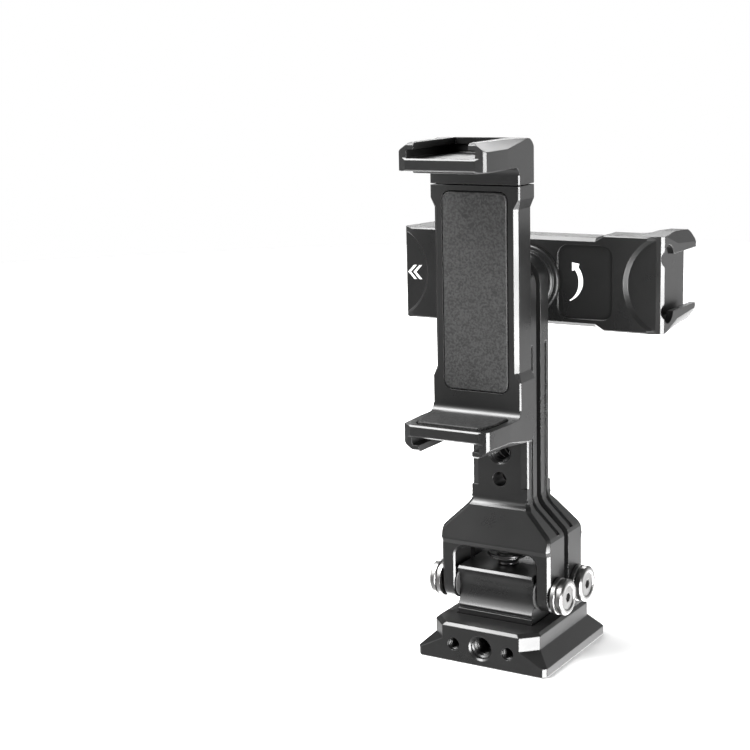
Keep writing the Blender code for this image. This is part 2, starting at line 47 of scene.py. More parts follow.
# Base plate
BASE_HALF = 19.0
BASE_LIP = 2.4
NECK_Z = 5.9
LIP_CORNER = 1.0
PLATFORM_HALF = 15.5
PLATFORM_CORNER = 4.2
PLATFORM_Z = 10.4
PLATFORM_EDGE = 0.8
THREAD_R = 2.9
THREAD_PITCH = 1.27
SIDE_HOLE_R = 1.7
SIDE_HOLE_X = 8.0
FRONT_HOLE_Z = 4.8
TRIPOD_HOLE_DEPTH = 5.4
TRIPOD_SINK_R = 3.7
FRONT_SINK_R = 3.75
SINK_DEPTH = 0.6
BLOCK_FIT = 0.3

# Hinge block and its two pins
PIN_Y = 6.1
PIN_Z = 18.2
PIN_R = 2.0
BORE_GAP = 0.3
BLOCK_HALF_X = 11.0
BLOCK_HALF_Y = 10.5
BLOCK_TOP = 23.6
BLOCK_FLOOR = 10.1
KNOB_Y = -2.2
KNOB_TOP = 27.2
KNOB_SHANK_R = 1.25
KNOB_SHANK_FOOT = 6.4
KNOB_BORE_R = 1.55
BLOCK_SCOOP_R = 7.6
PIN_HEAD_X = 16.4
PIN_END_X = 19.75
PIN_TAIL_X = -18.2
PIN_SOCKET_R = 1.35

# Arms
ARM_GAP = 1.3
STEM_FRONT = 6.9
STEM_HALF = 8.2
CHEEK_INNER = 12.0
CHEEK_OUTER = 16.1
CHEEK_FRONT = 10.3
SHOULDER_FRONT = 10.8
WINDOW_TOP = 29.2
AXIS_Z = 99.0
LOWER_HOLE_Z = 48.1
LOWER_HOLE_R = 2.0
UPPER_HOLE_Z = 55.5
UPPER_SINK_R = 3.5
SHOULDER_FILLET_R = 2.6
SHOULDER_FILLET_Z = 43.0
SHOULDER_TOP = 46
GROOVE_HALF = 0.8
GROOVE_DEPTH = 0.55
GROOVE_TOP = 84.3
SWIVEL_HEAD_R = 4.9
SWIVEL_TAIL = -3.9

# Phone clamps: a is the width, b runs from the back face to the phone, u runs along the clamp
CLAMP_BACK = 10.75
HALF_WIDE = 12.6
HALF_WAIST = 11.8
BODY_B = 8.5
BODY_EDGE = 1.0
END_EDGE = 0.4
SEAM_U = 27.5
SEAM_GAP = 0.3
WAIST_TOP = 24.2
WAIST_FOOT = -21.7
WAIST_SLOPE = 2.4
LIP_B = 26.0
FIXED_LIP_U = -30.8
MOVING_LIP_U = 32.2
LIP_THICK = 3.1
SLOT_HEIGHT = 2.1
HOOK_HEIGHT = 1.7
SLOT_HALF = 9.4
SLOT_MOUTH_HALF = 7.5
SLOT_END = 2.1
RELIEF_R = 3.4
RELIEF_X = 6.8
RELIEF_Y = -5.13
LIP_FILLET_R = 2.0
JAW_BACK_R = 4.0
JAW_SLOT_END = 3.6
# The round scoops in the back: radius at the mouth and the floor, and the centre's u
SCOOP_DEPTH = 1.1
BODY_SCOOP = (14.42, 12.7, -40.8)
JAW_SCOOP = (14.72, 13.0, 44.6)
# Rounded openings, each (half width, low, high, corner radius)
POCKET_WINDOW = (8.6, -23.6, 25.0, 2.0)
PAD_RECESS = (9.3, -24.8, 26.2, 2.4)
BODY_PAD = (9.0, -24.5, 25.9, 2.1)
MARK_WINDOW = (9.8, -24.2, -8.6, 3.0)
MARK_WINDOW_DEPTH = 0.5
ROD_A = 5.7
ROD_B = 3.9
ROD_R = 1.3
SPRING_WALL_U = 17.5
POCKET_FOOT_U = -22.0


def at(x, y, z):
    return Matrix.Translation((x * MM, y * MM, z * MM))


STILL = Matrix.Identity(4)
HALF_TURN = Matrix.Rotation(math.pi, 4, "Z")
# Turns a thread, which runs along -Z, so that it runs along +Y
INWARD = Matrix.Rotation(math.pi / 2, 4, "X")
FRONT_PLACE = at(0, -CLAMP_BACK, AXIS_Z)
REAR_PLACE = at(0, CLAMP_BACK, AXIS_Z) @ Matrix.Rotation(-math.pi / 2, 4, "Y") @ HALF_TURN
SIDES = (("front", FRONT_PLACE), ("rear", REAR_PLACE))


# ---- Node helpers ----


class Nodes:
    """A small builder for one material's node tree."""

    def __init__(self, name):
        self.material = bpy.data.materials.new(name)
        self.material.use_nodes = True
        self.tree = self.material.node_tree
        self.shader = self.tree.nodes["Principled BSDF"]

    def add(self, kind, settings=None, **inputs):
        """Inputs go by name, or by number as i0, i1 and so on."""
        node = self.tree.nodes.new(kind)
        for key, value in (settings or {}).items():
            setattr(node, key, value)
        for key, value in inputs.items():
            numbered = key[0] == "i" and key[1:].isdigit()
            self.feed(node.inputs[int(key[1:]) if numbered else key], value)
        return node

    def feed(self, socket, value):
        if isinstance(value, bpy.types.NodeSocket):
            self.tree.links.new(value, socket)
        elif hasattr(socket.default_value, "__len__") and not hasattr(value, "__len__"):
            socket.default_value = [value] * len(socket.default_value)
        else:
            socket.default_value = value

    def into(self, name, value):
        self.feed(self.shader.inputs[name], value)

    def place(self, scale=(1, 1, 1), shift=(0, 0, 0)):
        spot = self.add("ShaderNodeTexCoord").outputs["Object"]
        node = self.add("ShaderNodeMapping", Vector=spot, Scale=scale, Location=shift)
        return node.outputs["Vector"]

    def noise(self, vector, scale, detail=2.0, rough=0.5):
        node = self.add(
            "ShaderNodeTexNoise", Vector=vector, Scale=scale, Detail=detail, Roughness=rough
        )
        return node.outputs["Fac"]

    def ranged(self, value, low, high, to_low, to_high):
        node = self.add("ShaderNodeMapRange", i0=value, i1=low, i2=high, i3=to_low, i4=to_high)
        return node.outputs["Result"]

    def mixed(self, factor, first, second):
        node = self.add("ShaderNodeMix", {"data_type": "RGBA"}, i0=factor, i6=first, i7=second)
        return node.outputs[2]

    def maths(self, operation, first, second=0.0):
        return self.add("ShaderNodeMath", {"operation": operation}, i0=first, i1=second).outputs[0]

    def vector_maths(self, operation, **inputs):
        return self.add("ShaderNodeVectorMath", {"operation": operation}, **inputs)

    def bump(self, height, strength, distance, under=None):
        node = self.add("ShaderNodeBump", Height=height, Strength=strength, Distance=distance)
        if under is not None:
            self.feed(node.inputs["Normal"], under)
        return node.outputs["Normal"]

    def edges(self, radius):
        """(rounded normal, 0 to 1 mask that is high along the solid's edges)."""
        soft = self.add("ShaderNodeBevel", {"samples": 6}, Radius=radius).outputs["Normal"]
        flat = self.add("ShaderNodeNewGeometry").outputs["Normal"]
        aligned = self.vector_maths("DOT_PRODUCT", i0=soft, i1=flat)
        return soft, self.ranged(aligned.outputs["Value"], 0.995, 0.80, 0.0, 1.0)


def grey(value, warm=0.0):
    return (value * (1 + warm), value, value * (1 - warm), 1.0)


def anodised(name="anodised_aluminium", tone=0.006, low=0.24, high=0.34):
    """Black anodised aluminium: fine blasted grain, uneven sheen, and a painted highlight that
    lightens the colour along the edges.
    """
    n = Nodes(name)
    spot = n.place()
    soft, edge = n.edges(0.00022)
    cloud = n.noise(spot, 70.0, 3.0)
    grain = n.noise(spot, 5200.0, 1.0)
    # Painted highlight: the colour turns lighter along the solid's edges, broken up by noise.
    painted_edge_highlight = n.maths("MULTIPLY", edge, n.ranged(n.noise(spot, 420.0, 4.0), 0.42, 0.62, 0.25, 1.0))
    base = n.mixed(cloud, grey(tone * 0.8), grey(tone * 1.3))
    n.into("Base Color", n.mixed(painted_edge_highlight, base, grey(tone * 5)))
    uneven = n.ranged(cloud, 0.3, 0.7, low, high)
    n.into("Roughness", n.maths("ADD", uneven, n.maths("MULTIPLY", grain, 0.04)))
    n.into("Normal", n.bump(grain, 0.10, 0.00001, soft))
    n.into("IOR", 1.52)
    return n.material


def turned_steel(name, centre=(0, 0, 0), tone=0.26):
    """Bright turned steel: rings cut round the X axis through centre, smeared roughness."""
    n = Nodes(name)
    spot = n.place(shift=tuple(-c * MM for c in centre))
    flat = n.vector_maths("MULTIPLY", i0=spot, i1=(0.0, 1.0, 1.0)).outputs["Vector"]
    radius = n.vector_maths("LENGTH", i0=flat).outputs["Value"]
    rings = n.maths("SINE", n.maths("MULTIPLY", radius, 26000.0))
    smear = n.noise(n.place(scale=(40, 1, 1)), 260.0, 4.0, 0.6)
    soft = n.edges(0.00015)[0]
    n.into("Base Color", n.mixed(smear, grey(tone * 0.86, 0.01), grey(tone * 1.12, 0.01)))
    n.into("Metallic", 1.0)
    n.into("Roughness", n.ranged(smear, 0.3, 0.7, 0.26, 0.38))
    n.into("Normal", n.bump(rings, 0.12, 0.00002, soft))
    return n.material


def wire_steel(name="drawn_wire", tone=0.5):
    n = Nodes(name)
    spot = n.place(scale=(1, 1, 0.15))
    streak = n.noise(spot, 2600.0, 3.0)
    n.into("Base Color", n.mixed(streak, grey(tone * 0.8), grey(tone * 1.1)))
    n.into("Metallic", 1.0)
    n.into("Roughness", n.ranged(streak, 0.3, 0.7, 0.24, 0.4))
    n.into("Normal", n.bump(streak, 0.15, 0.00002))
    return n.material


def pebbled_rubber(name="pebbled_rubber", tone=0.018):
    """Matte rubber with a leather-like grain: low rounded pebbles and short furrows."""
    n = Nodes(name)
    spot = n.place()
    warp = n.add("ShaderNodeTexNoise", Vector=spot, Scale=1500.0, Detail=1.0).outputs["Color"]
    pull = n.vector_maths("SCALE", i0=warp, Scale=0.0006).outputs["Vector"]
    bent = n.vector_maths("ADD", i0=spot, i1=pull).outputs["Vector"]
    folds = n.ranged(n.noise(bent, 1700.0, 1.5, 0.55), 0.38, 0.62, 0.0, 1.0)
    broad = n.noise(spot, 260.0, 2.0)
    fine = n.noise(spot, 7000.0, 1.0)
    # Colour: painted shade, darker in the furrows where the grain's bump is low, mixed with random
    # broad tone.
    furrow_shade_and_tone = n.maths("ADD", n.maths("MULTIPLY", folds, 0.75), n.maths("MULTIPLY", broad, 0.25))
    n.into("Base Color", n.mixed(furrow_shade_and_tone, grey(tone * 0.5), grey(tone * 1.6)))
    n.into("Roughness", n.ranged(fine, 0.3, 0.7, 0.5, 0.62))
    n.into("Normal", n.bump(n.maths("ADD", folds, n.maths("MULTIPLY", fine, 0.2)), 0.55, 0.00007))
    n.into("IOR", 1.38)
    return n.material


def plain_polymer(name="washer_polymer", tone=0.05):
    n = Nodes(name)
    spot = n.place()
    n.into("Base Color", n.mixed(n.noise(spot, 300.0), grey(tone * 0.8), grey(tone * 1.2)))
    n.into("Roughness", n.ranged(n.noise(spot, 1500.0), 0.3, 0.7, 0.38, 0.5))
    n.into("Normal", n.bump(n.noise(spot, 3000.0), 0.1, 0.00002))
    return n.material


def white_ink(name="white_ink"):
    n = Nodes(name)
    spot = n.place()
    speck = n.noise(spot, 3500.0, 3.0)
    n.into("Base Color", n.mixed(speck, grey(0.82), grey(0.92)))
    n.into("Roughness", n.ranged(speck, 0.3, 0.7, 0.45, 0.6))
    n.into("Normal", n.bump(speck, 0.2, 0.00001))
    return n.material


# ---- Shape helpers ----

MERGE_DISTANCE = 0.000005
FLAT_DEGREES = 0.4
SHARP_DEGREES = 13


def finish_shape(work):
    """Merges close vertices, joins flat neighbours and turns the faces outwards."""
    bmesh.ops.remove_doubles(work, verts=work.verts, dist=MERGE_DISTANCE)
    bmesh.ops.dissolve_limit(
        work, angle_limit=math.radians(FLAT_DEGREES), verts=work.verts, edges=work.edges
    )
    bmesh.ops.recalc_face_normals(work, faces=work.faces)
    data = bpy.data.meshes.new("shape")
    work.to_mesh(data)
    work.free()
    return data


def prism(outline, low, high, plane):
    """A flat outline in XY, XZ or YZ, extruded along the third axis from low to high."""
    spots = {
        "XY": lambda p, q, r: (p, q, r),
        "XZ": lambda p, q, r: (p, r, q),
        "YZ": lambda p, q, r: (r, p, q),
    }[plane]
    work = bmesh.new()
    flat = work.faces.new([work.verts.new(Vector(spots(p, q, low)) * MM) for p, q in outline])
    grown = bmesh.ops.extrude_face_region(work, geom=[flat])
    moved_verts = [item for item in grown["geom"] if isinstance(item, bmesh.types.BMVert)]
    bmesh.ops.translate(work, vec=Vector(spots(0, 0, high - low)) * MM, verts=moved_verts)
    return finish_shape(work)


def box(low, high):
    work = bmesh.new()
    size = [(high[i] - low[i]) * MM for i in range(3)]
    middle = [(high[i] + low[i]) * MM / 2 for i in range(3)]
    matrix = Matrix.Translation(middle) @ Matrix.Diagonal((*size, 1))
    bmesh.ops.create_cube(work, size=1.0, matrix=matrix)
    return finish_shape(work)


def hull(points):
    work = bmesh.new()
    for point in points:
        work.verts.new(Vector(point) * MM)
    made = bmesh.ops.convex_hull(work, input=work.verts)
    bmesh.ops.delete(work, geom=made["geom_interior"], context="VERTS")
    return finish_shape(work)


def loft(rings):
    """Joins rings of equal count, from the first to the last, and caps both ends."""
    work = bmesh.new()
    made = [[work.verts.new(Vector(point) * MM) for point in ring] for ring in rings]
    count = len(made[0])
    for lower, upper in zip(made, made[1:]):
        for i in range(count):
            j = (i + 1) % count
            work.faces.new((lower[i], lower[j], upper[j], upper[i]))
    work.faces.new(made[0])
    work.faces.new(made[-1])
    return finish_shape(work)


def cylinder(radius, start, end, segments=64, end_radius=None):
    start = Vector(start) * MM
    end = Vector(end) * MM
    turn = (end - start).to_track_quat("Z", "Y").to_matrix().to_4x4()
    work = bmesh.new()
    bmesh.ops.create_cone(
        work,
        cap_ends=True,
        segments=segments,
        radius1=radius * MM,
        radius2=(radius if end_radius is None else end_radius) * MM,
        depth=(end - start).length,
        matrix=Matrix.Translation((start + end) / 2) @ turn,
    )
    return finish_shape(work)


def holder_of(data):
    holder = bpy.data.objects.new("work", data)
    bpy.context.scene.collection.objects.link(holder)
    return holder


def baked(holder):
    bpy.context.view_layer.update()
    graph = bpy.context.evaluated_depsgraph_get()
    data = bpy.data.meshes.new_from_object(holder.evaluated_get(graph))
    bpy.data.objects.remove(holder)
    work = bmesh.new()
    work.from_mesh(data)
    return finish_shape(work)


def turned(profile, direction, segments=96):
    """A profile of (radius, height) pairs, run down the outer side, turned about direction."""
    data = bpy.data.meshes.new("profile")
    spots = [(radius * MM, 0, height * MM) for radius, height in profile]
    edges = [(i, i + 1) for i in range(len(spots) - 1)]
    if profile[0][0] > 0:
        edges.append((len(spots) - 1, 0))
    data.from_pydata(spots, edges, [])
    holder = holder_of(data)
    screw = holder.modifiers.new("turn", "SCREW")
    screw.steps = segments
    screw.render_steps = segments
    screw.use_merge_vertices = True
    screw.merge_threshold = 0.00003
    shape = baked(holder)
    shape.transform(Vector(direction).to_track_quat("Z", "Y").to_matrix().to_4x4())
    return shape


def combined(target, others, operation):
    holder = holder_of(target)
    helpers = [holder_of(other) for other in others]
    for helper in helpers:
        step = holder.modifiers.new(operation.lower(), "BOOLEAN")
        step.operation = operation
        step.solver = "EXACT"
        step.object = helper
    shape = baked(holder)
    for helper in helpers:
        bpy.data.objects.remove(helper)
    return shape


def cut(target, *cutters):
    return combined(target, cutters, "DIFFERENCE")


def joined(target, *others):
    return combined(target, others, "UNION")


def common(target, *others):
    return combined(target, others, "INTERSECT")


def is_closed(data):
    work = bmesh.new()
    work.from_mesh(data)
    closed = all(len(line.link_faces) == 2 for line in work.edges)
    work.free()
    return closed


def moved(data, shift):
    data.transform(Matrix.Translation(Vector(shift) * MM))
    return data


def arc(centre, radius, start, end, count):
    """Points on a circle from angle start to angle end, in degrees."""
    spots = []
    for i in range(count + 1):
        angle = math.radians(start + (end - start) * i / count)
        spots.append((centre[0] + radius * math.cos(angle), centre[1] + radius * math.sin(angle)))
    return spots


def both_sides(half):
    return half + [(-p, q) for p, q in reversed(half)]


def rounded(half_p, low, high, radius, count=8):
    right = arc((half_p - radius, low + radius), radius, -90, 0, count)
    right += arc((half_p - radius, high - radius), radius, 0, 90, count)
    return both_sides(right)


def piece(name, data, matrix, coat, body, nodes=(), bevel=0.0, segments=2):
    """Adds one named piece that rides on a body and may stand for CAD nodes."""
    data = data.copy()
    data.transform(matrix)
    data.materials.clear()
    data.materials.append(coat)
    data.shade_smooth()
    data.set_sharp_from_angle(angle=math.radians(SHARP_DEGREES))
    made = bpy.data.objects.new(name, data)
    bpy.context.scene.collection.objects.link(made)
    if bevel:
        edge = made.modifiers.new("edges", "BEVEL")
        edge.width = bevel * MM
        edge.segments = segments
        edge.limit_method = "ANGLE"
        edge.angle_limit = math.radians(SHARP_DEGREES)
        edge.miter_outer = "MITER_ARC"
        edge.use_clamp_overlap = True
        edge.harden_normals = True
    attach(made, body)
    if nodes:
        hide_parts(*nodes)


def thread_shape(radius, depth, pitch, crest=0.6, steps=40):
    """An internal thread along -Z from z = 0: a helical ridge standing in from the wall."""
    work = bmesh.new()
    turns = depth / pitch
    count = int(turns * steps)
    wall = radius + 0.05
    section = ((wall, 0.5), (radius - crest, 0.08), (radius - crest, -0.08), (wall, -0.5))
    rings = []
    for i in range(count + 1):
        angle = 2 * math.pi * i / steps
        rise = -pitch * i / steps
        fade = min(1.0, 0.15 + i / steps, 0.15 + (count - i) / steps)
        ring = []
        for r, z in section:
            reach = radius + 0.05 + (r - radius - 0.05) * fade
            height = rise + z * pitch * 0.95
            spot = Vector((reach * math.cos(angle), reach * math.sin(angle), height)) * MM
            ring.append(work.verts.new(spot))
        rings.append(ring)
    size = len(section)
    for lower, upper in zip(rings, rings[1:]):
        for i in range(size):
            j = (i + 1) % size
            work.faces.new((lower[i], lower[j], upper[j], upper[i]))
    work.faces.new(rings[0])
    work.faces.new(rings[-1])
    bmesh.ops.recalc_face_normals(work, faces=work.faces)
    data = bpy.data.meshes.new("thread")
    work.to_mesh(data)
    work.free()
    return data


# ---- Base ----


def octagon(half_x, half_y, corner, z):
    """The eight corners of a rectangle whose corners are cut off, at height z."""
    return [
        (sx * x, sy * y, z)
        for sx in (-1, 1)
        for sy in (-1, 1)
        for x, y in ((half_x, half_y - corner), (half_x - corner, half_y))
    ]


def base_shape():
    foot = octagon(BASE_HALF, BASE_HALF, LIP_CORNER, 0.0)
    foot += octagon(BASE_HALF, BASE_HALF, LIP_CORNER, BASE_LIP)
    foot += octagon(PLATFORM_HALF, BASE_HALF, PLATFORM_CORNER, NECK_Z)
    platform = octagon(PLATFORM_HALF, BASE_HALF, PLATFORM_CORNER, NECK_Z - 1)
    platform += octagon(PLATFORM_HALF, BASE_HALF, PLATFORM_CORNER, PLATFORM_Z - PLATFORM_EDGE)
    platform += octagon(
        PLATFORM_HALF - PLATFORM_EDGE, BASE_HALF - PLATFORM_EDGE, PLATFORM_CORNER, PLATFORM_Z
    )
    front = -BASE_HALF
    z = FRONT_HOLE_Z
    cutters = [
        cylinder(THREAD_R, (0, 0, -1), (0, 0, TRIPOD_HOLE_DEPTH)),
        cylinder(TRIPOD_SINK_R, (0, 0, -0.3), (0, 0, SINK_DEPTH), 64, THREAD_R),
        cylinder(THREAD_R, (0, front - 1, z), (0, front + 8.5, z)),
        cylinder(FRONT_SINK_R, (0, front - 0.3, z), (0, front + SINK_DEPTH, z), 64, THREAD_R),
        cylinder(PIN_R + BORE_GAP, (0, KNOB_Y, 6.0), (0, KNOB_Y, 12)),
        box(
            (-BLOCK_HALF_X - BLOCK_FIT, -BLOCK_HALF_Y - BLOCK_FIT, BLOCK_FLOOR - BLOCK_FIT),
            (BLOCK_HALF_X + BLOCK_FIT, BLOCK_HALF_Y + BLOCK_FIT, 12),
        ),
    ]
    for side in (-1, 1):
        x = side * SIDE_HOLE_X
        cutters.append(cylinder(SIDE_HOLE_R, (x, front - 1, z), (x, front + 6, z), 48))
    return cut(joined(hull(foot), hull(platform)), *cutters)


def block_shape():
    """The hinge block: a step at its foot, and a long scoop in its front and back."""
    low = BLOCK_FLOOR + 2.2
    rise = (BLOCK_TOP - 0.8 - low - 0.7) / 2
    centre = (BLOCK_HALF_Y + math.sqrt(BLOCK_SCOOP_R**2 - rise**2), low + 0.7 + rise)
    spread = math.degrees(math.asin(rise / BLOCK_SCOOP_R))
    half = [
        (BLOCK_HALF_Y, BLOCK_FLOOR),
        (BLOCK_HALF_Y, BLOCK_FLOOR + 1.7),
        (BLOCK_HALF_Y - 0.6, BLOCK_FLOOR + 1.9),
        (BLOCK_HALF_Y - 0.6, low + 0.3),
        (BLOCK_HALF_Y, low + 0.5),
    ]
    half += arc(centre, BLOCK_SCOOP_R, 180 + spread, 180 - spread, 24)
    half += [(BLOCK_HALF_Y, BLOCK_TOP - 0.65), (BLOCK_HALF_Y - 0.65, BLOCK_TOP)]
    block = prism(both_sides(half), -BLOCK_HALF_X, BLOCK_HALF_X, "YZ")
    reach = BLOCK_HALF_X + 1
    cutters = [
        cylinder(PIN_R + BORE_GAP, (-reach, y, PIN_Z), (reach, y, PIN_Z)) for y in (-PIN_Y, PIN_Y)
    ]
    cutters.append(cylinder(KNOB_BORE_R, (0, KNOB_Y, BLOCK_FLOOR - 1), (0, KNOB_Y, BLOCK_TOP + 1)))
    return cut(block, *cutters)


def knob_dish_shape():
    top = KNOB_TOP
    profile = [(3.1, top - 0.75), (4.7, top - 0.6), (4.95, top - 0.1), (5.1, top), (5.4, top)]
    profile += [(5.6, top - 0.2), (5.6, top - 0.6), (5.4, top - 0.85), (3.1, top - 0.9)]
    return moved(turned(profile, (0, 0, 1)), (0, KNOB_Y, 0))


def knob_core_shape():
    """The steel screw under the dish: a slotted head, a tapering neck and the shank."""
    top = KNOB_TOP
    foot = BLOCK_TOP + 0.3
    profile = [(0, top - 0.15), (2.5, top - 0.15), (2.8, top - 0.25), (3.0, top - 0.5)]
    profile += [(3.0, top - 1.0), (5.1, top - 1.0), (5.1, top - 1.15), (3.4, top - 2.1)]
    profile += [(2.7, top - 2.8), (2.7, foot), (KNOB_SHANK_R, foot)]
    profile += [(KNOB_SHANK_R, KNOB_SHANK_FOOT), (0, KNOB_SHANK_FOOT)]
    core = turned(profile, (0, 0, 1))
    slot = box((-4, -0.35, top - 0.6), (4, 0.35, top + 1))
    return moved(cut(core, slot), (0, KNOB_Y, 0))


def head_profile(inner):
    """The stepped head at both ends of a hinge pin: from the axis outwards, then along the rim."""
    return inner + [
        (3.2, PIN_END_X - 0.3),
        (3.4, PIN_END_X - 0.05),
        (3.6, PIN_END_X),
        (4.2, PIN_END_X),
        (4.45, PIN_END_X - 0.08),
        (4.8, PIN_END_X - 0.5),
        (4.8, PIN_HEAD_X + 1.75),
        (4.65, PIN_HEAD_X + 1.6),
        (4.3, PIN_HEAD_X + 1.55),
        (4.3, PIN_HEAD_X + 1.2),
        (4.75, PIN_HEAD_X + 1.15),
        (4.9, PIN_HEAD_X + 1.0),
        (4.9, PIN_HEAD_X),
    ]


def hexagon(radius):
    angles = [math.pi * i / 3 for i in range(6)]
    return [(radius * math.cos(angle), radius * math.sin(angle)) for angle in angles]


def pin_shape():
    profile = head_profile([(0, PIN_END_X - 0.3)])
    profile += [(PIN_R, PIN_HEAD_X), (PIN_R, PIN_TAIL_X), (0, PIN_TAIL_X)]
    socket = prism(hexagon(PIN_SOCKET_R), PIN_END_X - 1.9, PIN_END_X + 1, "YZ")
    return cut(turned(profile, (1, 0, 0)), socket)


def cap_shape():
    """Cap nut on the shank's other end: the head profile turned round, with a blind bore."""
    bore = PIN_R + BORE_GAP
    bore_end = PIN_HEAD_X + 2.1
    profile = head_profile([(0, PIN_END_X - 0.3)])
    profile += [(bore, PIN_HEAD_X), (bore, bore_end), (0, bore_end)]
    socket = prism(hexagon(PIN_SOCKET_R), PIN_END_X - 0.9, PIN_END_X + 1, "YZ")
    shape = cut(turned(profile, (1, 0, 0)), socket)
    shape.transform(HALF_TURN)
    return shape


# ---- Arms, drawn as the front arm stands ----

ARM_TRIES = 20


def silhouette(inset=0.0):
    """Right-hand outline of the fork and shoulder, from the cheek's foot up to the stem."""
    slant = inset * 1.35
    return [
        (CHEEK_OUTER - inset, 10),
        (CHEEK_OUTER - inset, 33.2),
        (CHEEK_OUTER - 0.3 - inset, 34.1),
        (CHEEK_OUTER - 0.9 - slant, 34.9),
        (STEM_HALF + 1.3 - slant, 40.4),
        (STEM_HALF + 0.5 - slant, 41.6),
        (STEM_HALF - inset, 43.2),
        (STEM_HALF - inset, SHOULDER_TOP),
    ]


def on_silhouette(spot):
    outside = abs(spot.x) > CHEEK_INNER + 0.5 or spot.z > WINDOW_TOP + 1
    return abs(spot.x) > 8.4 and spot.z < 42.5 and outside


def on_window(spot):
    return abs(spot.x) < 12.2 and spot.z < 29.4


def chamfered(data, width, wanted):
    """Cuts a flat chamfer along the edges of the front face whose middles are wanted."""
    work = bmesh.new()
    work.from_mesh(data)
    chosen = []
    for line in work.edges:
        middle = (line.verts[0].co + line.verts[1].co) / (2 * MM)
        if len(line.link_faces) != 2 or not wanted(middle):
            continue
        turns = sorted(face.normal.y for face in line.link_faces)
        if turns[0] < -0.5 and abs(turns[1]) < 0.2:
            chosen.append(line)
    bmesh.ops.bevel(
        work, geom=chosen, offset=width * MM, segments=1, affect="EDGES", clamp_overlap=False
    )
    bmesh.ops.recalc_face_normals(work, faces=work.faces)
    work.to_mesh(data)
    work.free()
    return data


def arm_attempt():
    """One arm: the fork's cheeks, the shoulder and the stem, with a groove down each side."""
    cheek_y = -(CHEEK_FRONT + ARM_GAP) / 2
    cheek_r = (CHEEK_FRONT - ARM_GAP) / 2
    fillet = arc((0, 0), SHOULDER_FILLET_R, -8, -62, 8)
    side = arc((cheek_y, PIN_Z - 0.3), cheek_r, 180, 360, 32)
    side += [(-ARM_GAP, SHOULDER_TOP), (-STEM_FRONT, SHOULDER_TOP)]
    side += [(-STEM_FRONT, SHOULDER_FILLET_Z)]
    side += [(-STEM_FRONT - SHOULDER_FILLET_R + p, SHOULDER_FILLET_Z + q) for p, q in fillet]
    side += [(-SHOULDER_FRONT, 31.2), (-SHOULDER_FRONT, 30.8), (-CHEEK_FRONT, 29.6)]
    corner = arc((CHEEK_INNER - 3, WINDOW_TOP - 3), 3, 0, 90, 12)
    window = both_sides([(CHEEK_INNER, 10)] + corner)
    shoulder = common(
        prism(side, -20, 20, "YZ"), prism(both_sides(silhouette()), -15, 2, "XZ")
    )
    shoulder = cut(shoulder, prism(window, -16, 4, "XZ"))
    shoulder = chamfered(shoulder, 0.82, on_silhouette)
    shoulder = chamfered(shoulder, 0.5, on_window)

    half = [(6.32, -STEM_FRONT), (7.85, -6.28), (STEM_HALF, -5.93), (STEM_HALF, -ARM_GAP)]
    outline = [(STEM_HALF, 43), (STEM_HALF, AXIS_Z)]
    outline += arc((0, AXIS_Z), STEM_HALF, 5, 90, 18)
    outline += [(-p, q) for p, q in reversed(outline[:-1])]
    stem = common(prism(both_sides(half), 42, 110, "XY"), prism(outline, -15, 2, "XZ"))
    arm = joined(shoulder, stem)

    # The groove follows the stem's side face and the shoulder's slant.
    mid_y = -(STEM_FRONT + ARM_GAP) / 2
    ring = silhouette(GROOVE_DEPTH)[2:-1]
    ring += [(STEM_HALF - GROOVE_DEPTH, 83.2), (STEM_HALF - 0.3, 84.0)]
    ring += [(STEM_HALF + 1, GROOVE_TOP), (22, GROOVE_TOP), (22, 34.0)]
    cutters = []
    for sign in (-1, 1):
        path = [(sign * p, q) for p, q in ring]
        cutters.append(prism(path, mid_y - GROOVE_HALF, mid_y + GROOVE_HALF, "XZ"))
    reach = CHEEK_OUTER + 1
    face = -STEM_FRONT
    upper = UPPER_HOLE_Z
    cutters += [
        cylinder(PIN_R + BORE_GAP, (-reach, -PIN_Y, PIN_Z), (reach, -PIN_Y, PIN_Z)),
        cylinder(THREAD_R, (0, -9, upper), (0, 1, upper)),
        cylinder(UPPER_SINK_R, (0, face - 0.1, upper), (0, face + SINK_DEPTH, upper), 64, THREAD_R),
        cylinder(LOWER_HOLE_R, (0, -9, LOWER_HOLE_Z), (0, 1, LOWER_HOLE_Z)),
        cylinder(PIN_R + BORE_GAP, (0, -9, AXIS_Z), (0, 1, AXIS_Z)),
        cylinder(5.2, (0, -ARM_GAP - 2.0, AXIS_Z), (0, 1, AXIS_Z)),
    ]
    return cut(arm, *cutters)


def arm_shape():
    """The first arm that comes out closed.

    Bevel rounds its new corners a little differently from try to try, and now and then a cut
    after it fails on one of them and leaves the surface open.
    """
    for _ in range(ARM_TRIES):
        arm = arm_attempt()
        if is_closed(arm):
            break
    return arm


def swivel_disc_shape():
    near = CLAMP_BACK - STEM_FRONT - 1.0
    profile = [
        (PIN_R + BORE_GAP, near),
        (7.4, near),
        (7.9, near - 0.15),
        (8.2, near - 0.5),
        (8.2, near - 0.9),
        (8.3, near - 1.1),
        (9.1, near - 1.2),
        (9.4, near - 1.4),
        (9.5, near - 1.7),
        (9.5, 0.3),
        (7.0, 0.3),
        (7.0, -0.8),
        (PIN_R + BORE_GAP, -0.8),
    ]
    return turned(profile, (0, 1, 0), 128)


def swivel_screw_shape():
    top = CLAMP_BACK - ARM_GAP - 0.35
    foot = CLAMP_BACK - ARM_GAP - 1.7
    profile = [(0, top), (4.2, top), (4.6, top - 0.12), (SWIVEL_HEAD_R, top - 0.45)]
    profile += [(SWIVEL_HEAD_R, foot), (PIN_R, foot), (PIN_R, SWIVEL_TAIL), (0, SWIVEL_TAIL)]
    socket = prism(hexagon(1.5), top - 0.9, top + 1, "XZ")
    return cut(turned(profile, (0, 1, 0)), socket)


# ---- Clamp body and jaws, in the clamp's frame: x = a, y = -b, z = u ----


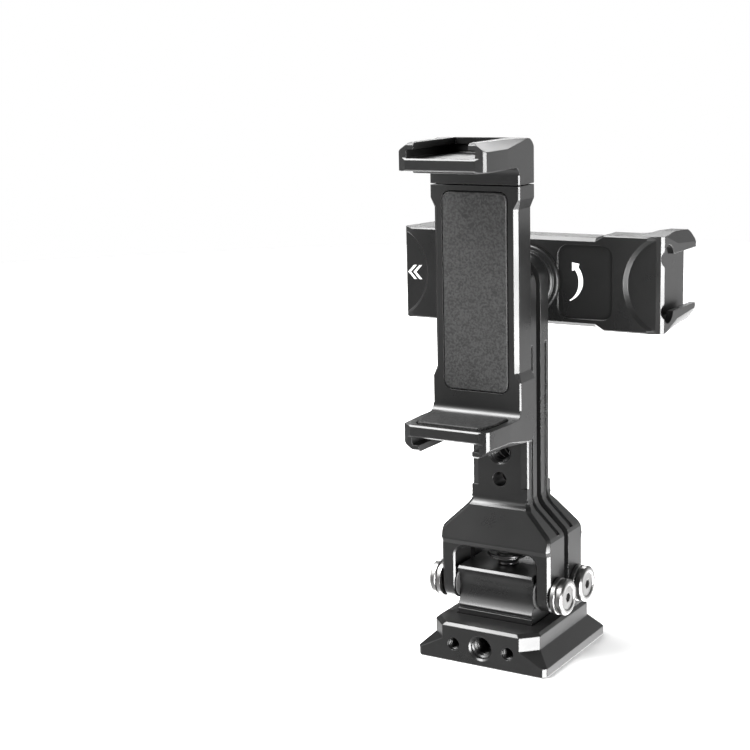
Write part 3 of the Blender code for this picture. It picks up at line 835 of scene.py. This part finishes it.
def bar(levels):
    """A bar along u with cut corners: each level is (u, half width, corner)."""
    rings = []
    for u, half, corner in levels:
        ring = [(half - corner, 0), (half, -corner)]
        ring += [(half, -BODY_B + corner), (half - corner, -BODY_B)]
        rings.append([(x, y, u) for x, y in both_sides(ring)])
    return loft(rings)


# Three points on each of the two planes that cut the lip's outer corners.
# Their z is counted from the lip's outer face.
LIP_PLANES = (
    ((12.6, -14.25, -2.07), (12.05, -23.2, -2.16), (9.0, -23.0, 0.0)),
    ((12.6, -14.25, -2.07), (12.6, -2.8, 0.0), (9.0, -14.25, 0.0)),
)


def lip_shape(inner, direction):
    """The jaw's lip and its slot's floor; direction is -1 for the fixed jaw, +1 for the moving."""
    outer = inner + direction * (LIP_THICK + SLOT_HEIGHT + HOOK_HEIGHT)
    floor = inner + direction * LIP_THICK
    root = inner - direction * LIP_FILLET_R
    back = outer - direction * JAW_BACK_R
    side = [(0.0, root), (-BODY_B, root)]
    for p, q in arc((0, 0), LIP_FILLET_R, 10, 80, 7):
        side.append((-BODY_B - 2 + p, root + direction * q))
    side += [(-BODY_B - 2, inner), (-LIP_B + 0.4, inner), (-LIP_B, inner + direction * 0.4)]
    side += [(-LIP_B, floor - direction * 0.4), (-LIP_B + 0.5, floor + direction * 0.1)]
    side += [(-LIP_B + 0.8, outer - direction * 0.6), (-LIP_B + 1.5, outer)]
    if direction > 0:
        for p, q in arc((0, 0), JAW_BACK_R, 90, 0, 10):
            side.append((-JAW_BACK_R + p, back + direction * q))
    else:
        side += [(-SLOT_END - 0.25, outer), (-1.6, outer - direction * 0.8)]
        side += [(-1.0, outer - direction * 2.18), (0.0, back)]
    plan = [
        (HALF_WIDE - END_EDGE, 0),
        (HALF_WIDE, -END_EDGE),
        (HALF_WIDE, -15.0),
        (12.05, -24.4),
        (11.4, -25.1),
        (9.5, -LIP_B),
    ]
    low, high = sorted((root, outer))
    shape = common(
        prism(side, -HALF_WIDE - 1, HALF_WIDE + 1, "YZ"),
        prism(both_sides(plan), low - 1, high + 1, "XY"),
    )
    for side_sign in (-1, 1):
        slabs = []
        for corners in LIP_PLANES:
            spots = [Vector((side_sign * x, y, outer + direction * z)) for x, y, z in corners]
            normal = (spots[1] - spots[0]).cross(spots[2] - spots[0]).normalized()
            if normal.z * direction < 0:
                normal = -normal
            turn = normal.to_track_quat("Z", "Y").to_matrix().to_4x4()
            slab = box((-40, -40, 0), (40, 40, 10))
            slab.transform(Matrix.Translation(spots[0] * MM) @ turn)
            slabs.append(slab)
        shape = cut(shape, common(*slabs))
    return shape, floor


def shoe_slot(floor, direction, back):
    """T-shaped accessory slot, open at the lip's tip, ending at the plane y = back."""
    under = floor + direction * SLOT_HEIGHT
    past = under + direction * 4
    low, high = sorted((floor, under))
    wide = box((-SLOT_HALF, -LIP_B - 2, low), (SLOT_HALF, back, high))
    low, high = sorted((floor + direction * 0.5, past))
    mouth = box((-SLOT_MOUTH_HALF, -LIP_B - 2, low), (SLOT_MOUTH_HALF, back - 0.4, high))
    return joined(wide, mouth)


def lip_pad_outline(gap):
    half = [(10.3 + gap, -11.0 + gap), (10.3 + gap, -18.5)]
    half += [(9.4 + gap, -22.4 - gap / 2), (8.4, -23.8 - gap)]
    return both_sides(half)


def pad_recess(inner, direction):
    low, high = sorted((inner - direction * 1, inner + direction * 0.8))
    return prism(lip_pad_outline(0.3), low, high, "XY")


def lip_pad_shape(inner, direction):
    low, high = sorted((inner - direction * 0.6, inner + direction * 0.5))
    return prism(lip_pad_outline(0.0), low, high, "XY")


def rod_bores(low, high):
    return [
        cylinder(ROD_R + BORE_GAP, (side * ROD_A, -ROD_B, low), (side * ROD_A, -ROD_B, high), 32)
        for side in (-1, 1)
    ]


def scoop(radius, floor_radius, u):
    """A shallow dish with a sloping wall, cut into the clamp's back."""
    return cylinder(radius, (0, 1, u), (0, -SCOOP_DEPTH, u), 128, floor_radius)


def clamp_body_shape():
    foot = FIXED_LIP_U + 1.0
    body = bar(
        [
            (foot - 1.5, HALF_WIDE, END_EDGE),
            (WAIST_FOOT, HALF_WIDE, END_EDGE),
            (WAIST_FOOT + WAIST_SLOPE, HALF_WAIST, BODY_EDGE),
            (WAIST_TOP - WAIST_SLOPE, HALF_WAIST, BODY_EDGE),
            (WAIST_TOP, HALF_WIDE, END_EDGE),
            (SEAM_U, HALF_WIDE, END_EDGE),
        ]
    )
    lip, floor = lip_shape(FIXED_LIP_U, -1)
    body = joined(body, lip)
    pocket = box((-8.0, -12, POCKET_FOOT_U), (8.0, -1.6, SPRING_WALL_U))
    boss = cylinder(3.1, (0, -1, 0), (0, -5.0, 0))
    pocket = cut(pocket, boss)
    cutters = [
        shoe_slot(floor, -1, -SLOT_END),
        pocket,
        prism(rounded(*POCKET_WINDOW), -12, -6.1, "XZ"),
        prism(rounded(*PAD_RECESS), -12, -7.3, "XZ"),
        pad_recess(FIXED_LIP_U, -1),
        cylinder(7.3, (0, 1, 0), (0, -1.1, 0)),
        cylinder(PIN_R + BORE_GAP, (0, 1, 0), (0, -4.2, 0)),
        scoop(*BODY_SCOOP),
        prism(rounded(*MARK_WINDOW), -MARK_WINDOW_DEPTH, 1, "XZ"),
    ]
    past = floor - SLOT_HEIGHT - HOOK_HEIGHT - 1
    for x in (-RELIEF_X, RELIEF_X):
        cutters.append(cylinder(RELIEF_R, (x, RELIEF_Y, floor + 0.05), (x, RELIEF_Y, past)))
    cutters += rod_bores(SPRING_WALL_U - 1, SEAM_U + 1)
    return cut(body, *cutters)


def moving_jaw_shape():
    low = SEAM_U + SEAM_GAP
    jaw = bar([(low, HALF_WIDE, END_EDGE), (MOVING_LIP_U - 1.0, HALF_WIDE, END_EDGE)])
    lip, floor = lip_shape(MOVING_LIP_U, 1)
    jaw = joined(jaw, lip)
    cutters = [
        shoe_slot(floor, 1, -JAW_SLOT_END),
        pad_recess(MOVING_LIP_U, 1),
        scoop(*JAW_SCOOP),
    ]
    cutters += rod_bores(low - 1, low + 5.6)
    return cut(jaw, *cutters)


# ---- Printed marks on the clamps' backs ----

INK_RISE = 0.03
ARROW_CENTRE_U = -9.5
ARROW_RADIUS = 5.65
ARROW_START = -64
ARROW_END = 43


def flat_mark(outline, y):
    """A thin printed mark in the XZ plane, just proud of the plane y."""
    return prism(outline, y, y + INK_RISE, "XZ")


def turn_arrow_outline():
    """Curved arrow: a tapering arc with a barbed head, drawn with x = -a side up and z = u."""
    centre_u = ARROW_CENTRE_U
    radius = ARROW_RADIUS
    outer, inner = [], []
    count = 24
    for i in range(count + 1):
        t = i / count
        angle = math.radians(ARROW_START + (ARROW_END - ARROW_START) * t)
        half = 0.12 + 0.50 * min(1.0, t * 1.8)
        for store, r in ((outer, radius + half), (inner, radius - half)):
            store.append((-r * math.sin(angle), centre_u - r * math.cos(angle)))
    head = []
    for r, degrees in ((radius + 1.4, 42), (radius + 0.3, 58), (radius - 1.4, 42)):
        angle = math.radians(degrees)
        head.append((-r * math.sin(angle), centre_u - r * math.cos(angle)))
    return outer[:-1] + head + list(reversed(inner[:-1]))


def chevron_outline(tip_u):
    """One chevron whose point is at tip_u, towards the moving jaw's end."""
    reach = 1.95
    depth = 1.9
    stroke = 0.85
    return [
        (0, tip_u),
        (reach, tip_u - depth),
        (reach, tip_u - depth - stroke),
        (0, tip_u - stroke),
        (-reach, tip_u - depth - stroke),
        (-reach, tip_u - depth),
    ]


# ---- Build ----


def build_base(black, steel_core, steel_front, steel_rear):
    plate = base_shape()
    piece("base_plate_fine", plate, STILL, black, "base", ["base_plate"], 0.25)
    thread = thread_shape(THREAD_R, 7.2, THREAD_PITCH)
    front = at(0, -BASE_HALF + 0.9, FRONT_HOLE_Z) @ INWARD
    piece("base_front_thread", thread, front, black, "base")
    short = thread_shape(THREAD_R, 4.0, THREAD_PITCH)
    # The tripod hole's thread runs up along +Z.
    under = at(0, 0, 0.9) @ Matrix.Rotation(math.pi, 4, "X")
    piece("base_tripod_thread", short, under, black, "base")
    small = thread_shape(SIDE_HOLE_R, 4.6, 0.7, 0.28)
    for word, side in (("left", -1), ("right", 1)):
        spot = at(side * SIDE_HOLE_X, -BASE_HALF + 0.5, FRONT_HOLE_Z) @ INWARD
        piece("base_side_thread_" + word, small, spot, black, "base")
    block = block_shape()
    piece("hinge_block_fine", block, STILL, black, "base", ["hinge_block"], 0.3)
    dish = knob_dish_shape()
    piece("block_screw_dish", dish, STILL, black, "base", ["block_screw"])
    piece("block_screw_core", knob_core_shape(), STILL, steel_core, "base")
    pin = pin_shape()
    cap = cap_shape()
    for word, sign, steel in (("front", -1, steel_front), ("rear", 1, steel_rear)):
        spot = at(0, sign * PIN_Y, PIN_Z)
        for part, data, node in (("screw", pin, "screw"), ("cap", cap, "cap_nut")):
            name = word + "_hinge_" + part + "_fine"
            piece(name, data, spot, steel, "base", [word + "_hinge_" + node])


def build_arms(black):
    arm = arm_shape()
    thread = thread_shape(THREAD_R, 4.4, THREAD_PITCH)
    inward = at(0, -STEM_FRONT + 0.7, UPPER_HOLE_Z) @ INWARD
    for word, turn in (("front", STILL), ("rear", HALF_TURN)):
        body = word + "_arm"
        piece(word + "_arm_fine", arm, turn, black, body, [word + "_arm"], 0.3)
        piece(word + "_arm_thread", thread, turn @ inward, black, body)


def build_clamps(black, rubber, steel, ink):
    body = clamp_body_shape()
    jaw = moving_jaw_shape()
    disc = swivel_disc_shape()
    screw = swivel_screw_shape()
    body_pad = prism(rounded(*BODY_PAD), -BODY_B - 0.3, -7.6, "XZ")
    fixed_pad = lip_pad_shape(FIXED_LIP_U, -1)
    moving_pad = lip_pad_shape(MOVING_LIP_U, 1)
    arrow = flat_mark(turn_arrow_outline(), -MARK_WINDOW_DEPTH)
    # Piece, its shape, finish, body, slot, the CAD node it replaces, bevel and bevel segments
    rows = (
        ("clamp_body", body, black, "clamp", "anodised_black", "clamp_body", 0.22, 2),
        ("swivel_disc", disc, black, "clamp", "anodised_black", "swivel_disc", 0.0, 2),
        ("swivel_screw", screw, steel, "clamp", "bright_steel", "swivel_screw", 0.0, 2),
        ("body_pad", body_pad, rubber, "clamp", "dark_rubber", "body_pad", 0.35, 3),
        ("fixed_pad", fixed_pad, rubber, "clamp", "dark_rubber", "fixed_jaw_pad", 0.3, 3),
        ("moving_jaw", jaw, black, "jaw", "anodised_black", "moving_jaw", 0.22, 2),
        ("moving_pad", moving_pad, rubber, "jaw", "dark_rubber", "moving_jaw_pad", 0.3, 3),
    )
    for side, spot in SIDES:
        word = side + "_"
        for name, data, coat, part, slot, node, bevel, segments in rows:
            name = word + name + "_fine"
            nodes = [word + node]
            piece(name, data, spot, coat, word + part, nodes, bevel, segments)
        piece(word + "turn_arrow", arrow, spot, ink, word + "clamp")
        for number, tip in (("outer", 37.6), ("inner", 35.9)):
            mark = flat_mark(chevron_outline(tip), -SCOOP_DEPTH)
            piece(word + "chevron_" + number, mark, spot, ink, word + "jaw")


def dress_frame(steel, wire, polymer):
    """Better finishes for the CAD nodes that stay: rods, springs, washers and pocket covers."""
    for name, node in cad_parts.items():
        if "spring" in name:
            coat = wire
        elif "washer" in name:
            coat = polymer
        elif "rod" in name or "cover" in name:
            coat = steel
        else:
            continue
        node.data.materials.clear()
        node.data.materials.append(coat)


# ---- Studio ----


# Name, place, size and power of each lamp; all aim at the object's middle
LIGHTS = (
    ("overhead", (-0.26, -0.24, 0.62), (0.46, 0.36), 10.0),
    ("back_top", (-0.24, 0.59, 0.46), (0.46, 0.24), 3.2),
)
LIGHT_AIM = (0, 0, 0.08)


def add_light(name, place, size, power):
    lamp = bpy.data.lights.new(name, "AREA")
    lamp.shape = "RECTANGLE"
    lamp.size, lamp.size_y = size
    lamp.energy = power
    made = bpy.data.objects.new(name, lamp)
    made.location = place
    made.rotation_mode = "QUATERNION"
    made.rotation_quaternion = (Vector(LIGHT_AIM) - Vector(place)).to_track_quat("-Z", "Y")
    bpy.context.scene.collection.objects.link(made)


def build_floor():
    """A pale floor, unseen in reflections, that fades into the white surround."""
    n = Nodes("pale_floor")
    spot = n.place()
    n.into("Base Color", n.mixed(n.noise(spot, 12.0), grey(0.88), grey(0.90)))
    n.into("Roughness", 0.9)
    n.into("Emission Color", grey(1.0))
    n.into("Emission Strength", 0.35)
    work = bmesh.new()
    bmesh.ops.create_circle(work, cap_ends=True, segments=96, radius=0.9)
    data = bpy.data.meshes.new("floor")
    work.to_mesh(data)
    work.free()
    data.materials.append(n.material)
    floor = bpy.data.objects.new("floor", data)
    floor.location = (0, 0, -0.0002)
    floor.visible_glossy = False
    floor.visible_shadow = False
    bpy.context.scene.collection.objects.link(floor)


# How bright reflections find the surround at each compass angle, in degrees from the front
# towards the right
SURROUND = (
    (-180, 0.12),
    (-148, 0.05),
    (-110, 0.15),
    (-75, 0.7),
    (-50, 0.8),
    (-28, 0.42),
    (-2, 0.12),
    (18, 0.03),
    (45, 0.03),
    (80, 0.2),
    (115, 0.35),
    (138, 0.7),
    (150, 1.2),
    (163, 0.7),
    (180, 0.25),
)
# Panels that show only in reflections: under the floor line, a tall strip, and a soft bank
UNDER_GLOW = 9.0
STRIP_COMPASS = 0.666
STRIP_GLOW = 42.0
BANK_GLOW = 5.0


def build_world():
    """White to look at; reflections see bright panels, and black flags beside the camera."""
    world = bpy.data.worlds.new("studio")
    world.use_nodes = True
    bpy.context.scene.world = world
    tree = world.node_tree
    links = tree.links
    background = tree.nodes["Background"]
    spot = tree.nodes.new("ShaderNodeTexCoord").outputs["Generated"]
    parts = tree.nodes.new("ShaderNodeSeparateXYZ")
    links.new(spot, parts.inputs[0])

    def maths(operation, first, second=None, third=None):
        node = tree.nodes.new("ShaderNodeMath")
        node.operation = operation
        for socket, value in zip(node.inputs, (first, second, third)):
            if isinstance(value, bpy.types.NodeSocket):
                links.new(value, socket)
            elif value is not None:
                socket.default_value = value
        return node.outputs[0]

    back = maths("MULTIPLY", parts.outputs["Y"], -1.0)
    compass = maths("MULTIPLY_ADD", maths("ARCTAN2", parts.outputs["X"], back), 0.5 / math.pi, 0.5)
    ramp = tree.nodes.new("ShaderNodeValToRGB")
    links.new(compass, ramp.inputs["Fac"])
    stops = ramp.color_ramp.elements
    for index, (degrees, level) in enumerate(SURROUND):
        spot_on = degrees / 360 + 0.5
        stop = stops[index] if index < 2 else stops.new(spot_on)
        stop.position = spot_on
        stop.color = grey(level)

    def ranged(value, start, end, low, high):
        node = tree.nodes.new("ShaderNodeMapRange")
        node.interpolation_type = "SMOOTHSTEP"
        links.new(value, node.inputs["Value"])
        rows = (("From Min", start), ("From Max", end), ("To Min", low), ("To Max", high))
        for name, number in rows:
            node.inputs[name].default_value = number
        return node.outputs["Result"]

    above = ranged(parts.outputs["Z"], 0.25, 0.7, 1.0, 0.35)
    below = ranged(maths("MULTIPLY", parts.outputs["Z"], -1.0), 0.25, 0.45, 0.0, 0.85)
    ahead = ranged(back, 0.1, 0.4, 0.0, 1.0)
    dip = maths("SUBTRACT", 1.0, maths("MULTIPLY", below, ahead))
    under = ranged(maths("MULTIPLY", parts.outputs["Z"], -1.0), 0.3, 0.55, 0.0, UNDER_GLOW)
    under = maths("MULTIPLY", under, ranged(parts.outputs["Y"], 0.05, 0.3, 0.1, 1.0))
    level = maths("MULTIPLY", maths("MULTIPLY", above, dip), ramp.outputs["Color"])
    # A tall bright strip at the right, and a soft bank high at the front left.
    off_strip = maths("ABSOLUTE", maths("SUBTRACT", compass, STRIP_COMPASS))
    aside = ranged(off_strip, 0.016, 0.036, STRIP_GLOW, 0.0)
    tall = ranged(maths("ABSOLUTE", maths("ADD", parts.outputs["Z"], 0.3)), 0.3, 0.45, 1.0, 0.0)
    left = ranged(parts.outputs["X"], -0.45, -0.3, BANK_GLOW, 0.0)
    raised = ranged(parts.outputs["Z"], 0.2, 0.5, 0.0, 1.0)
    high = maths("MULTIPLY", raised, ranged(back, -0.15, 0.1, 0.0, 1.0))
    level = maths("ADD", level, maths("MULTIPLY", aside, tall))
    level = maths("ADD", level, maths("MULTIPLY", left, high))
    background.inputs["Color"].default_value = grey(1.0)
    level = maths("ADD", level, under)
    # What the camera itself sees of the world is plain white.
    seen = tree.nodes.new("ShaderNodeLightPath").outputs["Is Camera Ray"]
    hidden = maths("MULTIPLY", level, maths("SUBTRACT", 1.0, seen))
    links.new(maths("ADD", hidden, seen), background.inputs["Strength"])


# The camera that was fitted to the photograph: yaw, pitch and roll in degrees, place in metres
CAMERA_TURN = (31.713, 11.562, -1.437)
CAMERA_PLACE = (0.18996, -0.37553, 0.16159)
CAMERA_LENS = 77.74


def build_camera():
    yaw, pitch, roll = (math.radians(v) for v in CAMERA_TURN)
    ahead = math.cos(pitch)
    forward = Vector((-math.sin(yaw) * ahead, math.cos(yaw) * ahead, -math.sin(pitch)))
    level = Vector((math.cos(yaw), math.sin(yaw), 0))
    upright = level.cross(forward)
    right = level * math.cos(roll) + upright * math.sin(roll)
    up = upright * math.cos(roll) - level * math.sin(roll)
    data = bpy.data.cameras.new("camera")
    data.sensor_width = 36.0
    data.lens = CAMERA_LENS
    data.clip_start = 0.01
    data.clip_end = 50.0
    camera = bpy.data.objects.new("camera", data)
    turn = Matrix((right, up, -forward)).transposed().to_4x4()
    camera.matrix_world = Matrix.Translation(CAMERA_PLACE) @ turn
    bpy.context.scene.collection.objects.link(camera)
    bpy.context.scene.camera = camera


def main():
    black = anodised()
    rubber = pebbled_rubber()
    ink = white_ink()
    steel = turned_steel("turned_steel", (0, 0, AXIS_Z))
    steel_front = turned_steel("turned_steel_front", (0, -PIN_Y, PIN_Z))
    steel_rear = turned_steel("turned_steel_rear", (0, PIN_Y, PIN_Z))
    build_camera()
    build_base(black, steel, steel_front, steel_rear)
    build_arms(black)
    build_clamps(black, rubber, steel, ink)
    dress_frame(steel, wire_steel(), plain_polymer())
    build_floor()
    build_world()
    for row in LIGHTS:
        add_light(*row)
    bpy.context.scene.view_settings.view_transform = "Standard"


main()
